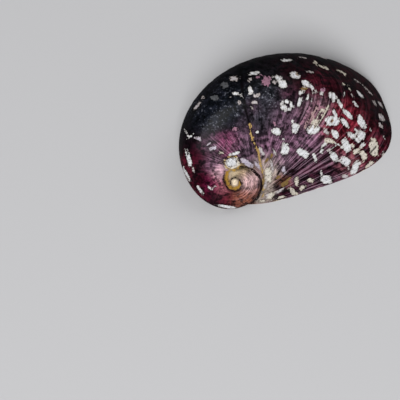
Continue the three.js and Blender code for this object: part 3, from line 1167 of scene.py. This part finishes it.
# Between which values of a noise or a share each part of the ground comes in.
LIGHT_LINES = (0.52, 0.59)
DARK_LINES = (0.38, 0.46)
CLOUDS = (0.36, 0.66)
COLD_PATCHES = (0.42, 0.52)
SPECKS = (0.58, 0.72)
PALE_GROUND = (0.08, 0.3)
STRIPED_GROUND = (0.4, 1.1)
MATTE_GROUND = (0.42, 0.5)

# How strong each part is.
LIGHT_LINE = 1.2
DARK_LINE = 0.7
BROAD_LINE = 1.6
CLOUD = 1.3
GRAIN = 1.8
CALM_WHERE_PALE = 0.6
WARM_WHERE_CALM = 1.5
COLD = 0.6
BRIGHTNESS = 1.15
DARKEST = 0.05
STRIPE = 0.35
SPECK = 0.5


def ground_colour(skin, ground, matte, colours):
    """The ground with its growth lines, clouds, cold patches and specks."""
    tree = skin.tree
    colour, lines = ground[0], ground[3]
    light = skin.fine.rise(*LIGHT_LINES)
    dark = skin.fine.fall(*DARK_LINES)
    stripes = 1 + lines * (light * LIGHT_LINE - dark * DARK_LINE + skin.broad.swing(BROAD_LINE))
    calm = tree.green(colour).rise(*PALE_GROUND) * CALM_WHERE_PALE
    clouds = skin.mottle.rise(*CLOUDS).swing(CLOUD) + skin.grit.swing(GRAIN)
    shade = (stripes * (1 + clouds * (1 - calm))).math("MAXIMUM", DARKEST)
    patches = (skin.patches * 0.5 + skin.mottle * 0.5).fall(*COLD_PATCHES)
    chill = patches * (1 - calm * WARM_WHERE_CALM) * COLD
    base = tree.scaled(tree.mix(chill, colour, colours.cold), shade * BRIGHTNESS)
    base = tree.mix(light * lines.rise(*STRIPED_GROUND) * STRIPE, base, colours.stripe)
    specks = (skin.grit + skin.mottle.swing(0.5)).rise(*SPECKS) * matte.rise(*MATTE_GROUND)
    return tree.mix(specks * SPECK, base, colours.speck)


# Marks. In pixels: how far each noise moves their edges, and between which distances inside an
# edge the mark comes in, the ground round it is dark, and the mark's own edge is stained.
EDGE_BY_LINES = 4.5
EDGE_BY_MOTTLE = 6.0
EDGE_BY_GRIT = 3.0
MARK_EDGE = (-0.1, 0.5)
DARK_ROUND = (-1.6, -0.3)
STAINED_EDGE = (0.4, 2.2)

# Where the lines and the grit comb a mark away, and which marks are pale enough to be stained.
COMBED_LINES = (0.3, 0.38)
COMBED_GRIT = (0.33, 0.4)
PALE_MARK = (0.25, 0.45)

# How strong each part of a mark is.
COMB = 0.8
DARKENING = 0.45
STAIN = 0.35
WEAR = 0.93
WEAR_BY_LINES = 0.8
WEAR_BY_GRIT = 0.8
WEAR_BY_MOTTLE = 0.7


def with_marks(skin, base, mark, colours):
    """The ground's colour with the marks over it, and where they are."""
    tree = skin.tree
    fine, mottle, grit = skin.fine, skin.mottle, skin.grit
    edge = mark[3].swing(2 * FIELD_REACH)
    ragged = edge + fine.swing(EDGE_BY_LINES) + mottle.swing(EDGE_BY_MOTTLE) + grit.swing(EDGE_BY_GRIT)
    combed = (1 - fine.fall(*COMBED_LINES) * COMB) * (1 - grit.fall(*COMBED_GRIT) * COMB)
    mask = ragged.rise(*MARK_EDGE) * combed
    base = tree.scaled(base, 1 - ragged.rise(*DARK_ROUND) * DARKENING)
    stain = ragged.fall(*STAINED_EDGE) * tree.green(mark[0]).rise(*PALE_MARK) * STAIN
    worn = WEAR + fine.swing(WEAR_BY_LINES) + grit.swing(WEAR_BY_GRIT) + mottle.swing(WEAR_BY_MOTTLE)
    return tree.mix(mask, base, tree.scaled(tree.mix(stain, mark[0], colours.khaki), worn)), mask


# Metres from the shell's middle or floor: where the margin of the lip turns to the pale inside,
# and how far the mottle moves that edge.
MARGIN_X = (-0.0022, -0.0008)
MARGIN_Z = (0.0005, 0.0014)
MARGIN_BY_MOTTLE = 0.0006

# The turns that part the faces of the wall, the shelf, what lies on the floor and the outside.
WALL_OR_DECK = (DECK_TURN + 0.2, INSIDE_TURN - 0.2)
DECK_OR_SOLE = (SOLE_TURN + 0.2, DECK_TURN - 0.2)
OUTSIDE = (INSIDE_TURN + 0.5, -0.2)

INSIDE_BRIGHTNESS = 0.85
INSIDE_MOTTLE = 0.3


def inside_colour(skin, place, colours):
    """The colours of the inner wall, the shelf, the rim and the sole."""
    tree = skin.tree
    x, _, z = tree.split(place)
    moved = skin.mottle * MARGIN_BY_MOTTLE
    outer_side = (x + moved).rise(*MARGIN_X)
    wall = tree.mix((z + moved).fall(*MARGIN_Z) * outer_side, colours.porcelain, colours.plum)
    sole = tree.mix(outer_side, colours.callus, colours.lip)
    colour = tree.mix(skin.turn.rise(*WALL_OR_DECK), colours.callus, wall)
    colour = tree.mix(skin.turn.rise(*DECK_OR_SOLE), sole, colour)
    return tree.scaled(colour, INSIDE_BRIGHTNESS + skin.mottle * INSIDE_MOTTLE)


# How much the lines, the mottle, the grit and the marks stand out, and the height in metres of
# what stands out by 1.
RELIEF_OF_LINES = 0.7
RELIEF_OF_MOTTLE = 0.5
RELIEF_OF_GRIT = 0.25
RELIEF_OF_MARKS = 0.2
RELIEF_STRENGTH = 0.6
RELIEF_HEIGHT = 0.00003

UNEVEN_GLOSS = 0.25
COAT_WEIGHT = 0.08
COAT_ROUGHNESS = 0.25


def shell_material(colours):
    tree = Tree("shell_surface")
    place = tree.node("ShaderNodeTexCoord")[3]
    ground = tree.attribute("ground")
    matte = tree.attribute("matte")[2]
    skin = Skin(tree, place, tree.attribute("coil")[1])
    base = ground_colour(skin, ground, matte, colours)
    outside, mask = with_marks(skin, base, tree.attribute("mark"), colours)
    outer = skin.turn.rise(*OUTSIDE)
    lines = skin.fine * ground[3] * RELIEF_OF_LINES
    relief = outer * (lines + skin.mottle * RELIEF_OF_MOTTLE + skin.grit * RELIEF_OF_GRIT)
    bump = {
        "Strength": RELIEF_STRENGTH,
        "Distance": RELIEF_HEIGHT,
        "Height": relief + mask * RELIEF_OF_MARKS,
    }
    return tree.finish({
        "Base Color": tree.mix(outer, inside_colour(skin, place, colours), outside),
        "Roughness": matte + skin.mottle.swing(UNEVEN_GLOSS),
        "Normal": tree.node("ShaderNodeBump", {}, bump)[0],
        "Specular IOR Level": 0.0,
        "Coat Weight": COAT_WEIGHT,
        "Coat Roughness": COAT_ROUGHNESS,
    })


class NERITE_OT_paint(bpy.types.Operator):
    """Paint the shell's grounds and marks, and give it its material"""

    bl_idname = "nerite.paint"
    bl_label = "Paint Shell"

    def execute(self, context):
        shell = bpy.data.objects.get("shell_fine")
        if shell is None:
            raise RuntimeError("there is no shell to paint yet")
        view = View(context.scene.nerite_stage, Vector(context.scene.nerite_apex))
        coil = Coil(context.scene.nerite_coil)
        paint(shell, view, context.scene.nerite_colours, np.array(coil.axis))
        shell.data.materials.clear()
        shell.data.materials.append(shell_material(context.scene.nerite_colours))
        return {"FINISHED"}


# Metres. Each light has its name, the setting of its power, its size and its place, and points at
# the origin.
LIGHTS = (
    ("key_light", "key_power", 0.10, (-0.06, -0.10, 0.16)),
    ("fill_light", "fill_power", 0.16, (0.10, 0.08, 0.18)),
)
FLOOR_SIZE = 0.6
NEAREST_SEEN = 0.01

FLOOR_ROUGHNESS = 0.9
SENSOR_MM = 36.0


class NERITE_OT_stage(bpy.types.Operator):
    """Set the floor, the lights and the camera"""

    bl_idname = "nerite.stage"
    bl_label = "Set Stage"

    def execute(self, context):
        stage = context.scene.nerite_stage
        apex = Vector(context.scene.nerite_apex)
        view = View(stage, apex)
        deselect_all()
        bpy.ops.mesh.primitive_plane_add(size=FLOOR_SIZE, location=(0, 0, 0))
        floor = context.object
        floor.name = "floor"
        paper = {"Base Color": stage.floor_colour, "Roughness": FLOOR_ROUGHNESS}
        floor.data.materials.append(Tree("floor_paper").finish(paper))
        target = view.place(PICTURE_SIZE / 2, PICTURE_SIZE / 2)
        bpy.ops.object.camera_add(location=target + view.towards * stage.camera_distance)
        camera = context.object
        camera.name = "camera"
        axes = Matrix((view.right, view.up, view.towards)).transposed()
        camera.rotation_euler = axes.to_euler()
        camera.data.sensor_width = SENSOR_MM
        width = PICTURE_SIZE * stage.pixel
        camera.data.lens = SENSOR_MM * stage.camera_distance / width
        camera.data.clip_start = NEAREST_SEEN
        context.scene.camera = camera
        for name, power, size, place in LIGHTS:
            bpy.ops.object.light_add(type="AREA", location=place)
            light = context.object
            light.name = name
            light.data.size = size
            light.data.energy = getattr(stage, power)
            light.rotation_euler = (-Vector(place)).to_track_quat("-Z", "Y").to_euler()
        world = bpy.data.worlds.new("studio")
        world.use_nodes = True
        backdrop = world.node_tree.nodes["Background"]
        backdrop.inputs["Color"].default_value = (1, 1, 1, 1)
        backdrop.inputs["Strength"].default_value = stage.sky
        context.scene.world = world
        context.scene.view_settings.view_transform = "Standard"
        return {"FINISHED"}


# Each step's operator, and the settings that it reads.
STEPS = (
    ("nerite.shell", ("nerite_coil", "nerite_wall", "nerite_facets")),
    ("nerite.paint", ("nerite_colours",)),
    ("nerite.stage", ("nerite_stage",)),
)


class NERITE_PT_shell(bpy.types.Panel):
    """Settings and steps of the nerite shell"""

    bl_idname = "NERITE_PT_shell"
    bl_label = "Nerite Shell"
    bl_space_type = "VIEW_3D"
    bl_region_type = "UI"
    bl_category = "Nerite"

    def draw(self, context):
        scene = context.scene
        for step, groups in STEPS:
            box = self.layout.box()
            for group in groups:
                settings = getattr(scene, group)
                for name in settings.__annotations__:
                    box.prop(settings, name)
            box.operator(step)


SETTINGS = {
    "nerite_coil": NeriteCoil,
    "nerite_wall": NeriteWall,
    "nerite_facets": NeriteFacets,
    "nerite_colours": NeriteColours,
    "nerite_stage": NeriteStage,
}
CLASSES = (
    *SETTINGS.values(),
    NERITE_OT_shell,
    NERITE_OT_paint,
    NERITE_OT_stage,
    NERITE_PT_shell,
)


def register():
    for kind in CLASSES:
        bpy.utils.register_class(kind)
    for name, kind in SETTINGS.items():
        setattr(bpy.types.Scene, name, bpy.props.PointerProperty(type=kind))
    bpy.types.Scene.nerite_apex = bpy.props.FloatVectorProperty(
        name="Apex", description="Place of the apex once the shell is built", subtype="TRANSLATION")


def unregister():
    del bpy.types.Scene.nerite_apex
    for name in SETTINGS:
        delattr(bpy.types.Scene, name)
    for kind in reversed(CLASSES):
        bpy.utils.unregister_class(kind)


def main():
    register()
    bpy.ops.nerite.shell()
    bpy.ops.nerite.paint()
    bpy.ops.nerite.stage()


if __name__ == "__main__":
    main()
